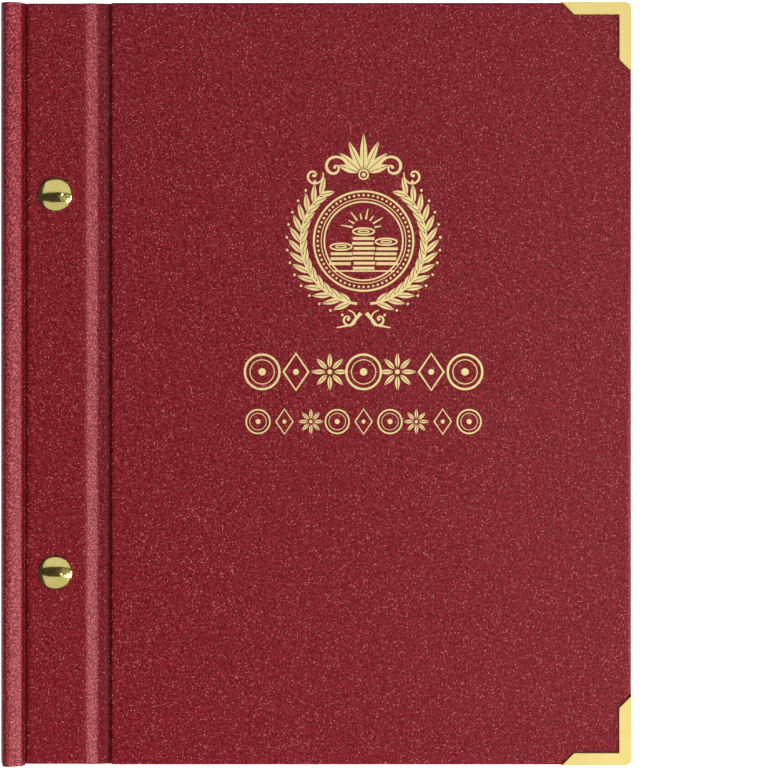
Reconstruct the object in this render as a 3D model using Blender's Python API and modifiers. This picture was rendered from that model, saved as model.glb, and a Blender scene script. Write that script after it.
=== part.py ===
"""A post-bound coin album, lying closed on its back cover.

Run it with: blender --background --python part.py
Metres. +Z is up through the front cover, +Y points to its head, +X from the spine to the fore-edge.
The origin is under the middle of the closed album, on the surface that it lies on.

Two hard covers are hinged in cloth to a binding: two narrow strip boards and a spine board in one covering
of leatherette. Two screw posts clamp six leaves between the strips. A leaf is a card tab, creased so that it
turns, and a coin board with round wells between two clear windows. Spacers between the tabs make room for
the coins.
"""

import math

import bmesh
import bpy

MM = 0.001

# Plan of the closed album. Distances from the spine are measured along +X from its outer face.
WIDTH = 223.6 * MM
HEIGHT = 270.2 * MM
COVER_EDGE = 222.9 * MM  # fore-edge of the cover cloth
COVER_HEIGHT = 268.8 * MM
COVER_START = 39.4 * MM  # hinge edge of the cover cloth
STRIP_START = 9.4 * MM
STRIP_END = 29.7 * MM
GUARD_START = 4.3 * MM  # spine edge of the tabs and spacers
PANEL_START = 50.0 * MM  # hinge edge of a coin board
LEAF_EDGE = 218.0 * MM
LEAF_HEIGHT = 260.0 * MM

# Thicknesses
CLOTH = 0.4 * MM
BOARD = 2.2 * MM
LINING = 0.3 * MM
GLUE_GAP = 0.3 * MM  # between pieces that are pasted together
SWING_GAP = 0.3 * MM  # between pieces that move apart
STRIP_BOARD = 1.5 * MM
SPINE_BOARD = 3.0 * MM
COIN_BOARD = 1.8 * MM
WINDOW = 0.3 * MM
TAB = 0.5 * MM
PLATE = 0.4 * MM  # sheet metal of the corner protectors
LEAF_COUNT = 6

# Heights. The back half is the front half turned over about MIDDLE.
BACK_FACE = PLATE + GLUE_GAP  # outer face of the back cover's cloth
COVER = 2 * CLOTH + 2 * GLUE_GAP + BOARD
LEAF = 2 * WINDOW + 2 * GLUE_GAP + COIN_BOARD
PITCH = LEAF + SWING_GAP
MIDDLE = BACK_FACE + COVER + SWING_GAP + (LEAF_COUNT * PITCH - SWING_GAP) / 2
FRONT_FACE = 2 * MIDDLE - BACK_FACE
STRIP_RECESS = 1.2 * MM
STRIP_FACE = FRONT_FACE - STRIP_RECESS

# Screw posts
POST_FROM_SPINE = 19.5 * MM
POST_SPREAD = 134.0 * MM
POST_HOLE_R = 3.0 * MM
HEAD_R = 5.85 * MM
DOME = 2.0 * MM
DOME_RIM = 0.5 * MM
BARREL_R = 2.5 * MM
BARREL_BORE_R = 1.8 * MM
BARREL_FOOT = 3.4 * MM  # height of the barrel's open end
BARREL_ROOF = 2.5 * MM  # from the front face down to the bore's blind end
SCREW_R = 1.6 * MM
SCREW_REACH = 13.0 * MM
SCREW_HEAD = 1.3 * MM
SLOT_WIDTH = 1.3 * MM
SLOT_DEPTH = 0.7 * MM

# Metal corners
CORNER_LEG = 25.0 * MM
CORNER_BAND = 4.5 * MM
CORNER_R = 2.2 * MM
TURN_IN = 5.0 * MM  # cloth that shows round a cover's lining

# Coin wells
WELL_R = 13.0 * MM
WELL_COLUMNS = 4
WELL_ROWS = 5
WELL_PITCH_X = 39.0 * MM
WELL_PITCH_Y = 49.0 * MM

# Joint axes, with the album closed. A depth is measured down from the front face.
COVER_HINGE = 34.8 * MM  # from the spine
COVER_HINGE_DEPTH = 0.7 * MM
LEAF_HINGE = 38.0 * MM  # from the spine
LEAF_HINGE_DEPTH = 3.4 * MM  # of the leaf next to a cover
LEAF_HINGE_STEP = 1.0 * MM  # how much deeper the next leaf hinges

ROUND_STEPS = 16
POST_STEPS = 24
ARC_STEPS = 3
CUT_PAST = 5.0 * MM  # how far a cutter runs past what it cuts

COLOURS = {
    "leatherette": ((0.21, 0.022, 0.028), 0.5, 0.0),
    "greyboard": ((0.42, 0.37, 0.30), 0.9, 0.0),
    "lining_paper": ((0.80, 0.74, 0.62), 0.8, 0.0),
    "card": ((0.86, 0.81, 0.68), 0.7, 0.0),
    "clear_film": ((0.90, 0.93, 0.95), 0.1, 0.0),
    "brass": ((0.83, 0.62, 0.22), 0.2, 1.0),
}

for old in list(bpy.data.objects):
    bpy.data.objects.remove(old)
album = bpy.data.collections.new("coin_album")
cutters = bpy.data.collections.new("cutters")
bpy.context.scene.collection.children.link(album)
bpy.context.scene.collection.children.link(cutters)


def material(name):
    """The Principled material of that name, made once."""
    if name in bpy.data.materials:
        return bpy.data.materials[name]
    colour, roughness, metallic = COLOURS[name]
    made = bpy.data.materials.new(name)
    made.use_nodes = True
    shader = made.node_tree.nodes["Principled BSDF"]
    shader.inputs["Base Color"].default_value = (*colour, 1.0)
    shader.inputs["Roughness"].default_value = roughness
    shader.inputs["Metallic"].default_value = metallic
    return made


def place(obj, material_name):
    """Puts a finished piece in the album with its material."""
    album.objects.link(obj)
    obj.data.materials.append(material(material_name))
    return obj


def from_spine(distance):
    """The X of a point that far from the spine's outer face."""
    return distance - WIDTH / 2


def turned_over(height):
    """The height of the same feature on the album's other side."""
    return 2 * MIDDLE - height


def hinge_empty(name, distance, height):
    """An empty on a hinge's axis, that far from the spine."""
    empty = bpy.data.objects.new(name, None)
    empty.location = (from_spine(distance), 0, height)
    album.objects.link(empty)
    return empty


def hang(pieces, empty):
    """Parents the pieces to the empty on their hinge's axis, and leaves them where they are."""
    for piece in pieces:
        piece.parent = empty
        piece.location = piece.location - empty.location


def arc(centre_x, centre_y, radius, start, end, steps=ARC_STEPS):
    """Points along an arc, angles in degrees."""
    angles = [math.radians(start + (end - start) * i / steps) for i in range(steps + 1)]
    return [(centre_x + radius * math.cos(a), centre_y + radius * math.sin(a)) for a in angles]


def circle(centre_x, centre_y, radius, steps=ROUND_STEPS):
    return arc(centre_x, centre_y, radius, 0, 360, steps)[:-1]


def sheet_outline(x_low, x_high, height, corner_r=0.0):
    """A rectangle centred on Y = 0, with its two fore-edge corners rounded."""
    half = height / 2
    if not corner_r:
        return [(x_low, -half), (x_high, -half), (x_high, half), (x_low, half)]
    lower = arc(x_high - corner_r, corner_r - half, corner_r, -90, 0)
    upper = arc(x_high - corner_r, half - corner_r, corner_r, 0, 90)
    return [(x_low, -half), *lower, *upper, (x_low, half)]


def flat_piece(name, outlines, low, high):
    """A flat plate between two heights. The first outline is its edge, and the others are holes."""
    curve = bpy.data.curves.new(name, "CURVE")
    curve.dimensions = "2D"
    curve.fill_mode = "BOTH"
    curve.extrude = (high - low) / 2
    for outline in outlines:
        spline = curve.splines.new("POLY")
        spline.points.add(len(outline) - 1)
        for point, (x, y) in zip(spline.points, outline):
            point.co = (x, y, 0, 1)
        spline.use_cyclic_u = True
    obj = bpy.data.objects.new(name, curve)
    obj.location.z = (low + high) / 2
    return obj


def as_mesh(obj):
    """A curve made a mesh object with its caps welded, so that it can be cut."""
    bpy.context.scene.collection.objects.link(obj)
    bpy.context.view_layer.update()
    graph = bpy.context.evaluated_depsgraph_get()
    mesh = bpy.data.meshes.new_from_object(obj.evaluated_get(graph))
    work = bmesh.new()
    work.from_mesh(mesh)
    bmesh.ops.remove_doubles(work, verts=work.verts, dist=1e-6)
    bmesh.ops.recalc_face_normals(work, faces=work.faces)
    work.to_mesh(mesh)
    work.free()
    made = bpy.data.objects.new(obj.name + "_mesh", mesh)
    made.matrix_world = obj.matrix_world
    name = obj.name
    bpy.data.objects.remove(obj)
    made.name = name
    return made


def box(name, x_low, x_high, y_low, y_high, z_low, z_high):
    """A box with its scale applied."""
    mesh = bpy.data.meshes.new(name)
    work = bmesh.new()
    bmesh.ops.create_cube(work, size=1.0)
    size = (x_high - x_low, y_high - y_low, z_high - z_low)
    bmesh.ops.scale(work, vec=size, verts=work.verts)
    work.to_mesh(mesh)
    work.free()
    obj = bpy.data.objects.new(name, mesh)
    obj.location = ((x_low + x_high) / 2, (y_low + y_high) / 2, (z_low + z_high) / 2)
    return obj


def cut(obj, cutter):
    """Takes the cutter's shape out of the piece."""
    cutters.objects.link(cutter)
    cutter.hide_render = True
    cutter.display_type = "WIRE"
    modifier = obj.modifiers.new("cut_" + cutter.name, "BOOLEAN")
    modifier.operation = "DIFFERENCE"
    modifier.object = cutter


def folded_sheet(name, profile, length, thickness):
    """A sheet whose cross-section in XZ follows the profile, with its thickness inside the profile."""
    mesh = bpy.data.meshes.new(name)
    work = bmesh.new()
    line = [work.verts.new((x, -length / 2, z)) for x, z in profile]
    edges = [work.edges.new(pair) for pair in zip(line, line[1:])]
    swept = bmesh.ops.extrude_edge_only(work, edges=edges)["geom"]
    far_line = [element for element in swept if isinstance(element, bmesh.types.BMVert)]
    bmesh.ops.translate(work, vec=(0, length, 0), verts=far_line)
    work.to_mesh(mesh)
    work.free()
    obj = bpy.data.objects.new(name, mesh)
    shell = obj.modifiers.new("thickness", "SOLIDIFY")
    shell.thickness = thickness
    shell.offset = -1
    shell.use_even_offset = True
    return obj


def turned_piece(name, profile):
    """A solid of revolution about its own Z. Its profile of (radius, height) runs down its outer side."""
    mesh = bpy.data.meshes.new(name)
    work = bmesh.new()
    line = [work.verts.new((radius, 0, height)) for radius, height in profile]
    for pair in zip(line, line[1:]):
        work.edges.new(pair)
    work.to_mesh(mesh)
    work.free()
    obj = bpy.data.objects.new(name, mesh)
    screw = obj.modifiers.new("turn", "SCREW")
    screw.steps = POST_STEPS
    screw.render_steps = POST_STEPS
    screw.use_merge_vertices = True
    screw.merge_threshold = 0.00001
    return obj


def post_places():
    """The name and Y of each screw post."""
    return (("upper", POST_SPREAD / 2), ("lower", -POST_SPREAD / 2))


def post_holes():
    """The outlines of the two holes that the posts go through."""
    return [circle(from_spine(POST_FROM_SPINE), y, POST_HOLE_R, ROUND_STEPS - 4) for _, y in post_places()]


def make_cover(side, outer, inner):
    """A hard cover between its outer and inner face: greyboard in cloth that turns in round a lining."""
    sign = 1 if outer > inner else -1
    x_low = from_spine(COVER_START)
    x_high = from_spine(COVER_EDGE)
    edge = CLOTH + GLUE_GAP
    levels = sorted((outer, inner))
    outline = sheet_outline(x_low, x_high, COVER_HEIGHT, CORNER_R - GLUE_GAP - PLATE)
    cloth = as_mesh(flat_piece(side + "_cloth", [outline], *levels))
    place(cloth, "leatherette")
    half = COVER_HEIGHT / 2
    pocket = sorted((outer - sign * CLOTH, inner + sign * CLOTH))
    cut(cloth, box(side + "_pocket", x_low + CLOTH, x_high - CLOTH, CLOTH - half, half - CLOTH, *pocket))
    window = sorted((inner + sign * (CLOTH + GLUE_GAP), inner - sign * CUT_PAST))
    window_half = half - TURN_IN
    cut(cloth, box(side + "_window", x_low + TURN_IN, x_high - TURN_IN, -window_half, window_half, *window))

    board_outline = sheet_outline(x_low + edge, x_high - edge, COVER_HEIGHT - 2 * edge)
    board = sorted((outer - sign * edge, outer - sign * (edge + BOARD)))
    greyboard = place(flat_piece(side + "_board", [board_outline], *board), "greyboard")

    margin = TURN_IN + GLUE_GAP
    paper_outline = sheet_outline(x_low + margin, x_high - margin, COVER_HEIGHT - 2 * margin)
    pasted_face = outer - sign * (edge + BOARD + GLUE_GAP)
    paper = sorted((pasted_face, pasted_face - sign * LINING))
    lining = place(flat_piece(side + "_lining", [paper_outline], *paper), "lining_paper")

    upper = make_corner(side + "_corner_upper", 1, *levels)
    lower = make_corner(side + "_corner_lower", -1, *levels)
    hinge = hinge_empty(side + "_cover_hinge", COVER_HINGE, outer - sign * COVER_HINGE_DEPTH)
    hang([cloth, greyboard, lining, upper, lower], hinge)


def make_corner(name, y_sign, low, high):
    """A folded metal corner: a mitred band on each face of the cover, joined round the cover's two edges."""
    edge_x = WIDTH / 2
    edge_y = HEIGHT / 2
    inside = CORNER_LEG - CORNER_BAND
    band = [
        (edge_x - CORNER_LEG, edge_y),
        (edge_x - inside, edge_y - CORNER_BAND),
        (edge_x - CORNER_BAND, edge_y - CORNER_BAND),
        (edge_x - CORNER_BAND, edge_y - inside),
        (edge_x, edge_y - CORNER_LEG),
        *arc(edge_x - CORNER_R, edge_y - CORNER_R, CORNER_R, 0, 90),
    ]
    band_outline = [(x, y * y_sign) for x, y in band]
    proud = GLUE_GAP + PLATE
    corner = place(as_mesh(flat_piece(name, [band_outline], low - proud, high + proud)), "brass")
    hollow_r = CORNER_R - PLATE
    wall_x = edge_x - PLATE
    wall_y = edge_y - PLATE
    far_x = edge_x - CORNER_LEG - CUT_PAST
    far_y = edge_y - CORNER_LEG - CUT_PAST
    hollow = [
        (far_x, far_y),
        (wall_x, far_y),
        *arc(wall_x - hollow_r, wall_y - hollow_r, hollow_r, 0, 90),
        (far_x, wall_y),
    ]
    hollow_outline = [(x, y * y_sign) for x, y in hollow]
    cut(corner, as_mesh(flat_piece(name + "_hollow", [hollow_outline], low - GLUE_GAP, high + GLUE_GAP)))
    return corner


def case_profile():
    """The outer line of the binding's cloth, from the front strip round the spine to the back strip."""
    front = [
        (STRIP_END, STRIP_RECESS),
        (STRIP_START + 0.5 * MM, STRIP_RECESS),
        (STRIP_START - 0.1 * MM, 1.5 * MM),
        (8.7 * MM, 2.3 * MM),
        (8.0 * MM, 2.3 * MM),
        (7.1 * MM, 0.7 * MM),
        (4.0 * MM, -0.45 * MM),
        (2.9 * MM, -0.7 * MM),
        (1.7 * MM, -0.7 * MM),
        (0.7 * MM, -0.2 * MM),
        (0.15 * MM, 0.8 * MM),
        (0.0, 2.2 * MM),
    ]
    upper = [(from_spine(x), FRONT_FACE - depth) for x, depth in front]
    return upper + [(x, turned_over(z)) for x, z in reversed(upper)]


def make_binding():
    """The spine and strip boards with their cloth, and the cloth hinges that carry the covers."""
    cloth = folded_sheet("binding_cloth", case_profile(), HEIGHT, CLOTH)
    place(cloth, "leatherette")
    for end, y in post_places():
        drill_outline = circle(from_spine(POST_FROM_SPINE), y, POST_HOLE_R, ROUND_STEPS)
        drill = flat_piece("drill_" + end, [drill_outline], -CUT_PAST, FRONT_FACE + CUT_PAST)
        cut(cloth, as_mesh(drill))

    spine_face = CLOTH + GLUE_GAP
    spine_outline = sheet_outline(from_spine(spine_face), from_spine(spine_face + SPINE_BOARD), LEAF_HEIGHT)
    spine_top = FRONT_FACE - 1.6 * MM
    place(flat_piece("spine_board", [spine_outline], turned_over(spine_top), spine_top), "greyboard")

    strip_outline = sheet_outline(from_spine(STRIP_START + 0.8 * MM), from_spine(STRIP_END), COVER_HEIGHT)
    strip_top = STRIP_FACE - CLOTH - GLUE_GAP
    front = (strip_top - STRIP_BOARD, strip_top)
    back = tuple(turned_over(z) for z in reversed(front))
    for side, levels in (("front", front), ("back", back)):
        place(flat_piece(side + "_strip_board", [strip_outline, *post_holes()], *levels), "greyboard")
    make_hinges()


def make_hinges():
    """The cloth that dips into the groove between strip and cover, and the paper strip that lines it."""
    start = STRIP_END + GLUE_GAP
    end = COVER_START - GLUE_GAP
    dip = [
        (start, STRIP_RECESS + 0.1 * MM),
        (33.9 * MM, 2.3 * MM),
        (37.0 * MM, 2.5 * MM),
        (38.2 * MM, 2.7 * MM),
        (end, 2.6 * MM),
    ]
    upper = [(from_spine(x), FRONT_FACE - depth) for x, depth in reversed(dip)]
    lower = [(x, turned_over(z)) for x, z in reversed(upper)]
    for side, profile in (("front", upper), ("back", lower)):
        place(folded_sheet(side + "_hinge_cloth", profile, COVER_HEIGHT, CLOTH), "leatherette")
    liner = sheet_outline(from_spine(start), from_spine(end), LEAF_HEIGHT)
    liner_top = FRONT_FACE - 2.7 * MM - CLOTH - GLUE_GAP
    front = (liner_top - LINING, liner_top)
    back = tuple(turned_over(z) for z in reversed(front))
    for side, levels in (("front", front), ("back", back)):
        place(flat_piece(side + "_hinge_liner", [liner], *levels), "lining_paper")


def leaf_height(number):
    """The middle height of a leaf. Leaf 1 is under the front cover."""
    return MIDDLE + ((LEAF_COUNT + 1) / 2 - number) * PITCH


def leaf_hinge_height(number):
    """The height of a leaf's hinge axis. The leaves nearer the middle hinge deeper."""
    order = min(number, LEAF_COUNT + 1 - number) - 1
    height = FRONT_FACE - LEAF_HINGE_DEPTH - order * LEAF_HINGE_STEP
    return height if number <= LEAF_COUNT / 2 else turned_over(height)


def well_centres():
    """The centre of each coin well on a board."""
    middle_x = (from_spine(PANEL_START) + from_spine(LEAF_EDGE)) / 2
    for row in range(WELL_ROWS):
        for column in range(WELL_COLUMNS):
            yield (
                middle_x + (column - (WELL_COLUMNS - 1) / 2) * WELL_PITCH_X,
                (row - (WELL_ROWS - 1) / 2) * WELL_PITCH_Y,
            )


def make_leaf(number):
    """A creased tab and the coin board that it carries, with a clear window on each face."""
    z = leaf_height(number)
    tab_outline = sheet_outline(from_spine(GUARD_START), from_spine(PANEL_START) - SWING_GAP, LEAF_HEIGHT)
    place(flat_piece(f"leaf_tab_{number}", [tab_outline, *post_holes()], z - TAB / 2, z + TAB / 2), "card")

    board_outline = sheet_outline(from_spine(PANEL_START), from_spine(LEAF_EDGE), LEAF_HEIGHT, 3 * MM)
    wells = [circle(x, y, WELL_R) for x, y in well_centres()]
    half = COIN_BOARD / 2
    board = place(flat_piece(f"coin_board_{number}", [board_outline, *wells], z - half, z + half), "card")

    margin = 2 * MM
    film_outline = sheet_outline(
        from_spine(PANEL_START) + margin, from_spine(LEAF_EDGE) - margin, LEAF_HEIGHT - 2 * margin, 2 * MM
    )
    near = half + GLUE_GAP
    far = near + WINDOW
    front = place(flat_piece(f"front_window_{number}", [film_outline], z + near, z + far), "clear_film")
    back = place(flat_piece(f"back_window_{number}", [film_outline], z - far, z - near), "clear_film")
    hang([board, front, back], hinge_empty(f"leaf_hinge_{number}", LEAF_HINGE, leaf_hinge_height(number)))


def make_spacers():
    """The card strips clamped between the tabs. The first and last fill the space next to a strip board."""
    outline = sheet_outline(from_spine(GUARD_START), from_spine(STRIP_END), LEAF_HEIGHT)
    clearance = TAB / 2 + GLUE_GAP
    ends = STRIP_FACE - CLOTH - 2 * GLUE_GAP - STRIP_BOARD
    tops = [ends] + [leaf_height(n) - clearance for n in range(1, LEAF_COUNT + 1)]
    feet = [leaf_height(n) + clearance for n in range(1, LEAF_COUNT + 1)] + [turned_over(ends)]
    for number, (foot, top) in enumerate(zip(feet, tops), start=1):
        place(flat_piece(f"spacer_{number}", [outline, *post_holes()], foot, top), "card")


def make_posts():
    """Two screw posts: a domed barrel from the front, and a slotted screw up into it from the back."""
    seat = STRIP_FACE + GLUE_GAP
    rim = seat + DOME_RIM
    crown = seat + DOME
    rise = DOME - DOME_RIM
    bow = (HEAD_R**2 + rise**2) / (2 * rise)  # radius of the dome's sphere
    spread = math.asin(HEAD_R / bow)
    dome = [
        (bow * math.sin(spread * i / 6), crown - bow + bow * math.cos(spread * i / 6)) for i in range(6)
    ]
    barrel_profile = [
        *dome,
        (HEAD_R, rim),
        (HEAD_R, seat),
        (BARREL_R, seat),
        (BARREL_R, BARREL_FOOT),
        (BARREL_BORE_R, BARREL_FOOT),
        (BARREL_BORE_R, seat - BARREL_ROOF),
        (0.0, seat - BARREL_ROOF),
    ]
    head_top = turned_over(seat)
    head_foot = head_top - SCREW_HEAD
    bevel = 0.3 * MM
    screw_profile = [
        (0.0, head_top + SCREW_REACH),
        (SCREW_R - bevel, head_top + SCREW_REACH),
        (SCREW_R, head_top + SCREW_REACH - bevel),
        (SCREW_R, head_top),
        (HEAD_R, head_top),
        (HEAD_R, head_foot + bevel),
        (HEAD_R - bevel, head_foot),
        (0.0, head_foot),
    ]
    x = from_spine(POST_FROM_SPINE)
    for end, y in post_places():
        barrel = turned_piece("post_barrel_" + end, barrel_profile)
        screw = turned_piece("post_screw_" + end, screw_profile)
        for piece in (barrel, screw):
            piece.location = (x, y, 0)
            place(piece, "brass")
        reach = HEAD_R + CUT_PAST
        half = SLOT_WIDTH / 2
        slot = box("slot_" + end, x - half, x + half, y - reach, y + reach, -CUT_PAST, head_foot + SLOT_DEPTH)
        cut(screw, slot)


make_cover("front", FRONT_FACE, FRONT_FACE - COVER)
make_cover("back", BACK_FACE, BACK_FACE + COVER)
make_binding()
make_spacers()
for leaf_number in range(1, LEAF_COUNT + 1):
    make_leaf(leaf_number)
make_posts()
for piece in album.objects:
    if piece.type == "MESH":
        piece.data.shade_smooth()
        piece.data.set_sharp_from_angle(angle=math.radians(30))
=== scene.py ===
"""The looks of a post-bound coin album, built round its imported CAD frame.

Metres. +Z is up through the front cover, +Y points to its head, +X from the spine to the fore-edge. A place
is given as u, the distance from the spine's face, and depth, the distance down from a cover's outer face.
"""

import math

import bmesh
import bpy
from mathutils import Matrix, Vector


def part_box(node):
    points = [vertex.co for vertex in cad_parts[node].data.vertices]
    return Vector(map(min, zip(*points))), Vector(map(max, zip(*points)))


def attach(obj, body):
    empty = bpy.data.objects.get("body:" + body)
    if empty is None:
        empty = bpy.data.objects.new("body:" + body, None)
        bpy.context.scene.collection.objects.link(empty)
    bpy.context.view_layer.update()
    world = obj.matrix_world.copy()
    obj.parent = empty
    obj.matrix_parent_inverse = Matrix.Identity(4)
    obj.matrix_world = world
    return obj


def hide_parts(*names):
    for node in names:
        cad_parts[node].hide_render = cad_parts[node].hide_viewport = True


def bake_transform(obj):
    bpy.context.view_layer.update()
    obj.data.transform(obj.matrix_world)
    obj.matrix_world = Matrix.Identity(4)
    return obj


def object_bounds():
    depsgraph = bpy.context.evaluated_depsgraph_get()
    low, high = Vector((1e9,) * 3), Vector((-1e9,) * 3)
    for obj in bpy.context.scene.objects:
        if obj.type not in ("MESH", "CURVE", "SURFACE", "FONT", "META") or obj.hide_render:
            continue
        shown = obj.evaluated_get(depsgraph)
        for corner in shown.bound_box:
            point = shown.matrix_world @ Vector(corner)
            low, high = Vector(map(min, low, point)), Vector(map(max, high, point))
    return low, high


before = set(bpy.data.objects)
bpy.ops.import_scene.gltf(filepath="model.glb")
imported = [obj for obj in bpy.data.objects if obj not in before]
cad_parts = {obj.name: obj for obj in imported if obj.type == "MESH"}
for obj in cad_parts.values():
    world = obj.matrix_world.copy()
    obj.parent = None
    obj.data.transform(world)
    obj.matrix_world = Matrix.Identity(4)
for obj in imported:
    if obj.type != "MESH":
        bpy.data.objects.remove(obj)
cad_low, cad_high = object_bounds()

MM = 0.001
SIDES = ("front", "back")
LEAVES = range(1, 7)

# What the frame says
spine_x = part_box("binding_cloth")[0].x
front_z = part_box("front_cloth")[1].z
back_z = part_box("back_cloth")[0].z
album_depth = front_z - back_z
fore_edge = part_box("front_cloth")[1].x - spine_x
cover_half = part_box("front_cloth")[1].y
binding_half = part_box("binding_cloth")[1].y
post_x = (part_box("post_barrel_upper")[0].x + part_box("post_barrel_upper")[1].x) / 2
post_y = (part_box("post_barrel_upper")[0].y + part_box("post_barrel_upper")[1].y) / 2

# The cloth case
GROOVE = 8.65 * MM  # u of the groove's bottom, where the spine's cloth meets the strips'
EDGE_R = 1.0 * MM
EDGE_STEPS = 4
SUPPORT = 0.5 * MM  # from a rounded edge to the line that keeps the flat face flat
POST_HOLE_R = 3.0 * MM
STRIP_DEPTH = 1.2 * MM  # of the strips' face
CORNER_ROUNDS = 2  # how often an outline's corners are cut


def at(u):
    """The X of a place that far from the spine."""
    return spine_x + u


def level(side, depth):
    """The Z of a depth below that side's outer face."""
    return front_z - depth if side == "front" else back_z + depth


# Node materials


def node(tree, kind, inputs=None, **settings):
    """A new node. An input's value is a number, a colour or another node's output."""
    made = tree.nodes.new(kind)
    for key, value in settings.items():
        setattr(made, key, value)
    for key, value in (inputs or {}).items():
        socket = made.inputs[key]
        if isinstance(value, bpy.types.NodeSocket):
            tree.links.new(value, socket)
        else:
            socket.default_value = value
    return made


def principled(name, colour, roughness, metallic=0.0, **inputs):
    """A material with its tree and its Principled node."""
    made = bpy.data.materials.new(name)
    made.use_nodes = True
    shader = made.node_tree.nodes["Principled BSDF"]
    shader.inputs["Base Color"].default_value = (*colour, 1.0)
    shader.inputs["Roughness"].default_value = roughness
    shader.inputs["Metallic"].default_value = metallic
    for key, value in inputs.items():
        shader.inputs[key.replace("_", " ")].default_value = value
    return made, made.node_tree, shader


def millimetres(tree, source):
    """A coordinate output scaled so that one unit is a millimetre."""
    inputs = {0: source, 1: (1000, 1000, 1000)}
    return node(tree, "ShaderNodeVectorMath", inputs, operation="MULTIPLY").outputs[0]


def object_coordinates(tree):
    return millimetres(tree, node(tree, "ShaderNodeTexCoord").outputs["Object"])


def noise(tree, vector, scale, detail=2.0, roughness=0.5):
    inputs = {"Vector": vector, "Scale": scale, "Detail": detail, "Roughness": roughness}
    return node(tree, "ShaderNodeTexNoise", inputs).outputs["Fac"]


def ramp(tree, value, low, high, to_low=0.0, to_high=1.0):
    """The value mapped from low..high to to_low..to_high, and held there outside."""
    inputs = {"Value": value, "From Min": low, "From Max": high, "To Min": to_low, "To Max": to_high}
    return node(tree, "ShaderNodeMapRange", inputs).outputs["Result"]


def blend_colours(tree, factor, first, second):
    mixed = node(tree, "ShaderNodeMix", data_type="RGBA")
    for index, value in ((0, factor), (6, first), (7, second)):
        if isinstance(value, bpy.types.NodeSocket):
            tree.links.new(value, mixed.inputs[index])
        else:
            mixed.inputs[index].default_value = value if index == 0 else (*value, 1.0)
    return mixed.outputs[2]


def arithmetic(tree, operation, first, second):
    return node(tree, "ShaderNodeMath", {0: first, 1: second}, operation=operation).outputs[0]


def bump(tree, shader, height, strength, distance):
    made = node(tree, "ShaderNodeBump", {"Height": height, "Strength": strength, "Distance": distance})
    tree.links.new(made.outputs["Normal"], shader.inputs["Normal"])


def between_lines(tree, value, low, high, fade):
    """1 where the value is between two bounds, fading out past them."""
    rise = ramp(tree, value, low - fade, low)
    return arithmetic(tree, "MINIMUM", rise, ramp(tree, value, high, high + fade, 1.0, 0.0))


THREAD_PITCH = 0.55  # of the linen, in millimetres
BEAD = (3.2, 7.6)  # where the spine's bead lies, which gets a painted highlight, in millimetres from the spine's face
STRIP_EDGE = (32.6, 36.2)  # and the strip's edge, at the hinge, which gets one too


def leatherette():
    """Dark red bookbinder's leatherette: a grain of fine slanting dashes, with small pale specks painted in
    as glint highlights.

    A painted highlight makes it paler over the spine's beads and the strips' edges, where these slopes face
    the light.
    """
    made, tree, shader = principled("leatherette", (0.12, 0.008, 0.012), 0.36, Specular_IOR_Level=0.16)
    flat = millimetres(tree, node(tree, "ShaderNodeUVMap", uv_map="cloth").outputs["UV"])
    inputs = {"Vector": flat, "Rotation": (0, 0, math.radians(54)), "Scale": (1.05, 0.42, 1)}
    slanted = node(tree, "ShaderNodeMapping", inputs, vector_type="TEXTURE").outputs[0]
    cells = node(tree, "ShaderNodeTexVoronoi", {"Vector": flat, "Scale": 1.3}).outputs["Distance"]
    pebbles = arithmetic(tree, "MULTIPLY", cells, 0.25)
    grain = arithmetic(tree, "SUBTRACT", noise(tree, slanted, 1.0, 2.0, 0.6), pebbles)
    marks = ramp(tree, grain, 0.32, 0.52)
    # Painted glint specks: scattered pale pink specks painted into the colour stand in for light glinting off
    # the grain; the same specks are also raised a little in the bump.
    painted_glint_cells = node(tree, "ShaderNodeTexVoronoi", {"Vector": flat, "Scale": 1.7})
    chosen = node(tree, "ShaderNodeSeparateColor", {0: painted_glint_cells.outputs["Color"]}).outputs[0]
    size = ramp(tree, chosen, 0.45, 1.0, 0.0, 0.42)
    painted_glints = ramp(tree, arithmetic(tree, "SUBTRACT", size, painted_glint_cells.outputs["Distance"]), 0.0, 0.12)
    # Painted highlight: over the spine's bead and the strip's edge both tones are painted paler, standing in
    # for the light these slopes catch.
    across = node(tree, "ShaderNodeSeparateXYZ", {0: flat}).outputs[0]
    spine = spine_x / MM
    bead = between_lines(tree, across, spine + BEAD[0], spine + BEAD[1], 1.0)
    edge = between_lines(tree, across, spine + STRIP_EDGE[0], spine + STRIP_EDGE[1], 1.2)
    # The mask of the painted highlight over the bead and the strip's edge.
    stretched = arithmetic(tree, "MAXIMUM", bead, edge)
    low = blend_colours(tree, stretched, (0.098, 0.0016, 0.0042), (0.138, 0.0052, 0.0098))
    high = blend_colours(tree, stretched, (0.236, 0.0135, 0.0210), (0.410, 0.0730, 0.0870))
    colour = blend_colours(tree, marks, low, high)
    # The painted glint specks, mixed into the colour.
    colour = blend_colours(tree, arithmetic(tree, "MULTIPLY", painted_glints, 0.5), colour, (0.74, 0.27, 0.28))
    tree.links.new(colour, shader.inputs["Base Color"])
    tree.links.new(ramp(tree, marks, 0.0, 1.0, 0.35, 0.28), shader.inputs["Roughness"])
    raised = arithmetic(tree, "MULTIPLY", painted_glints, 0.8)
    bump(tree, shader, arithmetic(tree, "ADD", marks, raised), 0.8, 0.00005)
    return made


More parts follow.
